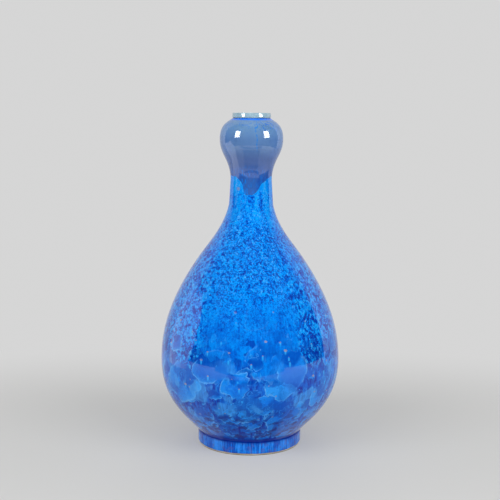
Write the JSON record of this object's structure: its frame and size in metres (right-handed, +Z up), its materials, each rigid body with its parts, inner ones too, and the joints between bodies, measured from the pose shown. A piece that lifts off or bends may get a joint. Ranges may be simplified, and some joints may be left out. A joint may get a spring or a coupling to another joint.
{
  "type": "garlic-mouth vase",
  "caption": "Footed garlic-mouth vase with a pear-shaped belly, slender neck, bulb and lip, thrown in luted sections under running crystalline glaze.",
  "frame": {"origin": "centre of the foot ring, on the floor", "axes": "+Z up along the vase's axis; the front, with the longest tongue of slate glaze on the neck, faces -Y"},
  "size_m": [0.162, 0.162, 0.3],
  "materials": {
    "porcelain": "bare fired clay, matt, warm beige",
    "slip": "fired slip, matt",
    "crystal_glaze": "glossy azure glaze full of crystals on a navy ground",
    "slate_glaze": "glossy slate blue glaze",
    "pale_glaze": "glossy pale grey-blue glaze",
    "clear_glaze": "glossy clear glaze, faintly blue"
  },
  "bodies": {
    "root": {"foot_ring": "porcelain", "lower_belly": "porcelain", "upper_belly": "porcelain", "neck": "porcelain", "garlic_bulb": "porcelain", "lip_collar": "porcelain", "foot_slip_joint": "slip", "belly_slip_joint": "slip", "neck_slip_joint": "slip", "bulb_slip_joint": "slip", "lip_slip_joint": "slip", "crystal_glaze": "crystal_glaze", "bulb_glaze": "slate_glaze", "lip_glaze": "pale_glaze", "inside_glaze": "clear_glaze", "base_glaze": "clear_glaze"}
  },
  "joints": []
}
